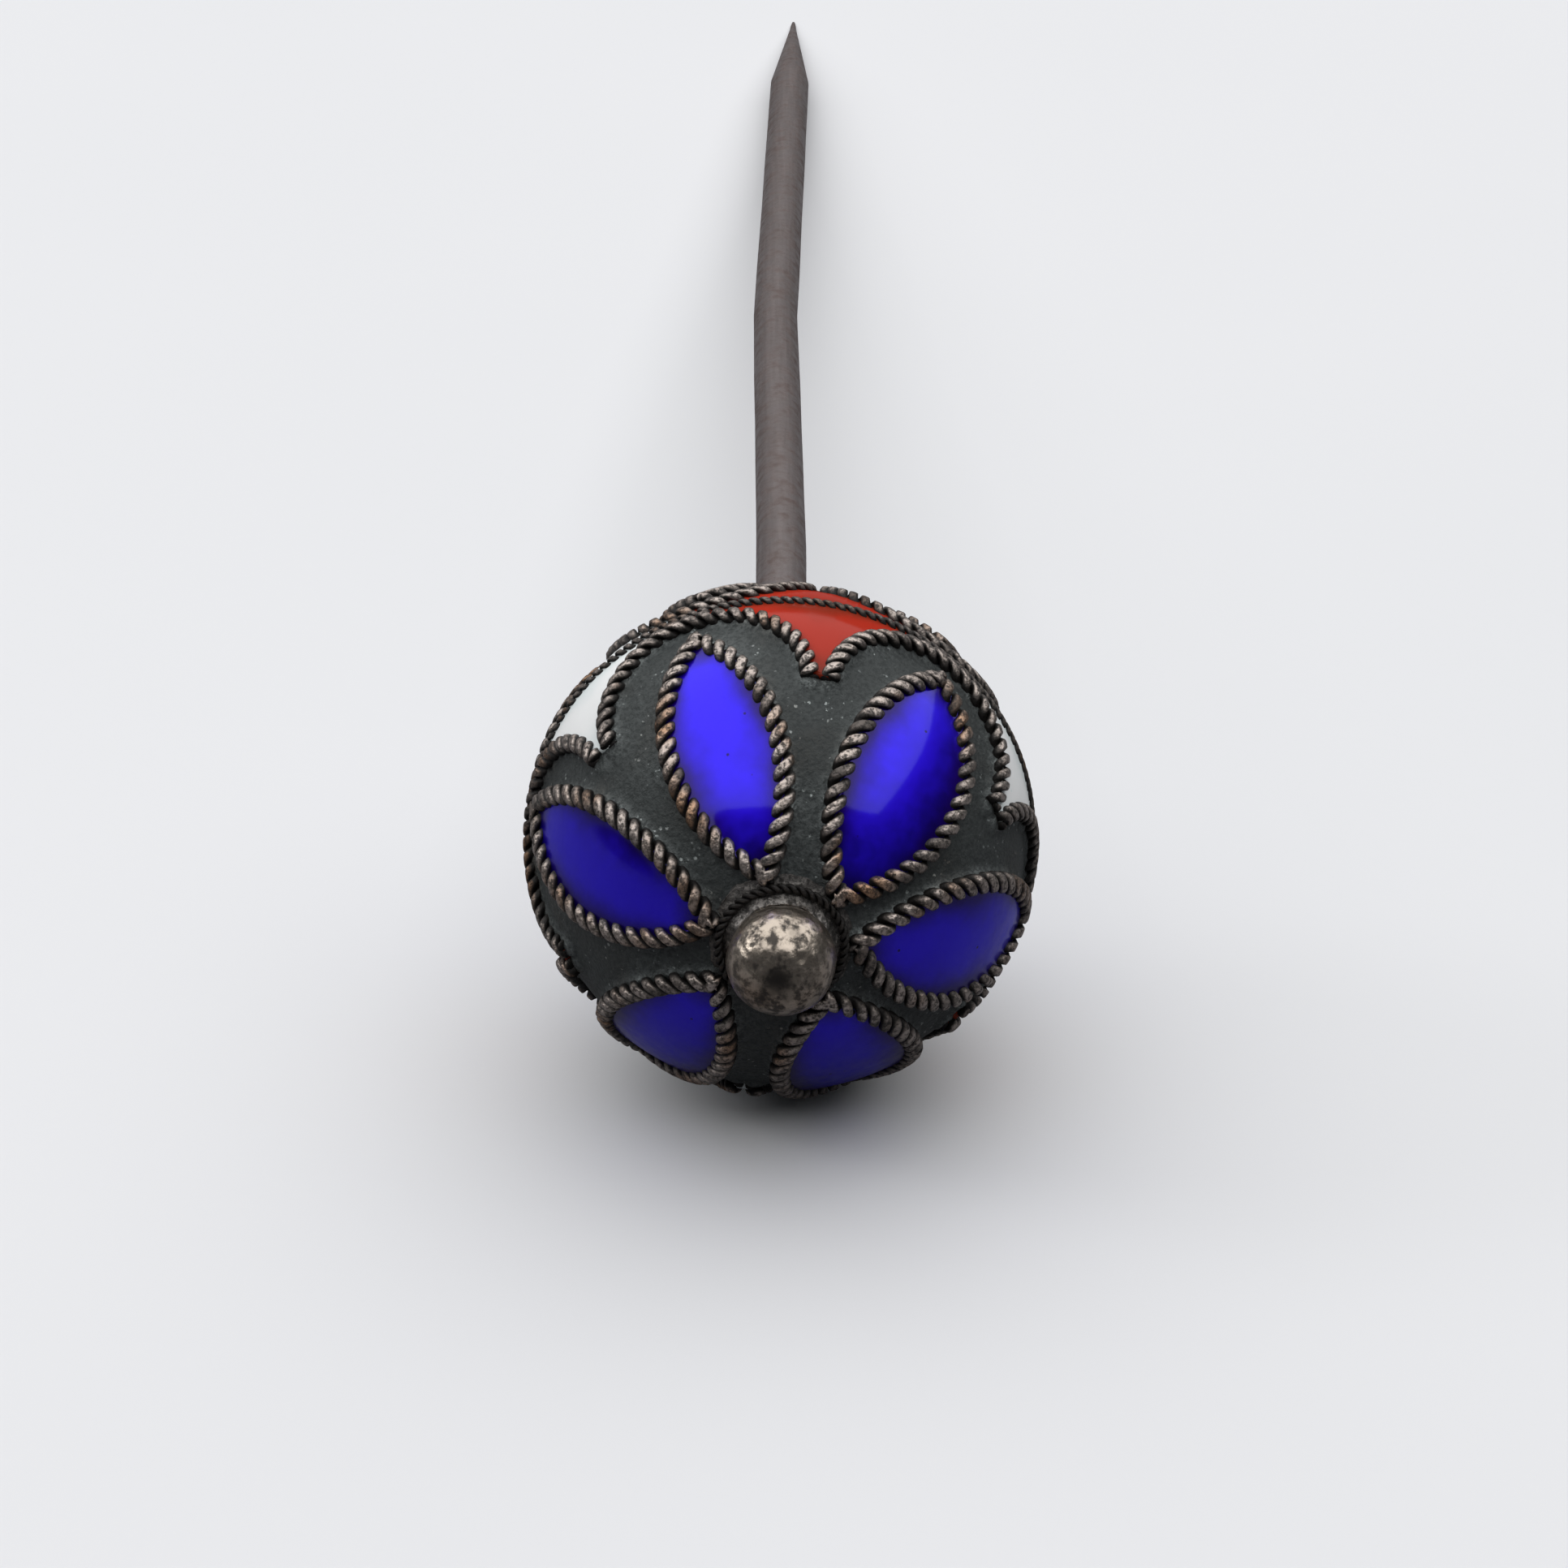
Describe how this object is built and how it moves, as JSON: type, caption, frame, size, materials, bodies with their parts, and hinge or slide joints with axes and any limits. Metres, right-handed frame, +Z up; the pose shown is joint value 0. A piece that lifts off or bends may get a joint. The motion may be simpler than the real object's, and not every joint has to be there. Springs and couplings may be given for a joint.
{
  "type": "hat pin",
  "caption": "Hat pin with a hollow silver ball head, twisted-wire petals and scallops filled with blue, red and white enamel, a ball finial and a long steel pin.",
  "frame": {"origin": "on the pin's axis where the steel leaves the collar behind the head", "axes": "+Y along the pin towards its point, -Y towards the finial, +Z up at right angles to the pin"},
  "size_m": [0.0128, 0.0861, 0.0126],
  "materials": {
    "ground_silver": "oxidised, matt, granular silver",
    "wire_silver": "tarnished silver with worn bright crowns",
    "solder_silver": "oxidised, rough silver solder",
    "finial_silver": "worn, pitted silver",
    "pin_steel": "browned steel wire",
    "blue_enamel": "glossy translucent cobalt enamel",
    "red_enamel": "satin coral red enamel",
    "white_enamel": "satin pale blue-white enamel"
  },
  "bodies": {
    "root": {"front_shell": "ground_silver", "rear_shell": "ground_silver", "seam_wire": "wire_silver", "finial_ball": "finial_silver", "finial_base": "solder_silver", "finial_ring": "wire_silver", "rear_collar": "solder_silver", "pin": "pin_steel", "front_petal_wire_1": "wire_silver", "front_petal_enamel_1": "blue_enamel", "front_scallop_wire_1": "wire_silver", "front_spandrel_enamel_1": "red_enamel", "rear_petal_wire_1": "wire_silver", "rear_petal_enamel_1": "blue_enamel", "rear_scallop_wire_1": "wire_silver", "rear_spandrel_enamel_1": "red_enamel", "front_petal_wire_2": "wire_silver", "front_petal_enamel_2": "blue_enamel", "front_scallop_wire_2": "wire_silver", "front_spandrel_enamel_2": "white_enamel", "rear_petal_wire_2": "wire_silver", "rear_petal_enamel_2": "blue_enamel", "rear_scallop_wire_2": "wire_silver", "rear_spandrel_enamel_2": "white_enamel", "front_petal_wire_3": "wire_silver", "front_petal_enamel_3": "blue_enamel", "front_scallop_wire_3": "wire_silver", "front_spandrel_enamel_3": "red_enamel", "rear_petal_wire_3": "wire_silver", "rear_petal_enamel_3": "blue_enamel", "rear_scallop_wire_3": "wire_silver", "rear_spandrel_enamel_3": "red_enamel", "front_petal_wire_4": "wire_silver", "front_petal_enamel_4": "blue_enamel", "front_scallop_wire_4": "wire_silver", "front_spandrel_enamel_4": "white_enamel", "rear_petal_wire_4": "wire_silver", "rear_petal_enamel_4": "blue_enamel", "rear_scallop_wire_4": "wire_silver", "rear_spandrel_enamel_4": "white_enamel", "front_petal_wire_5": "wire_silver", "front_petal_enamel_5": "blue_enamel", "front_scallop_wire_5": "wire_silver", "front_spandrel_enamel_5": "red_enamel", "rear_petal_wire_5": "wire_silver", "rear_petal_enamel_5": "blue_enamel", "rear_scallop_wire_5": "wire_silver", "rear_spandrel_enamel_5": "red_enamel", "front_petal_wire_6": "wire_silver", "front_petal_enamel_6": "blue_enamel", "front_scallop_wire_6": "wire_silver", "front_spandrel_enamel_6": "white_enamel", "rear_petal_wire_6": "wire_silver", "rear_petal_enamel_6": "blue_enamel", "rear_scallop_wire_6": "wire_silver", "rear_spandrel_enamel_6": "white_enamel"}
  },
  "joints": []
}
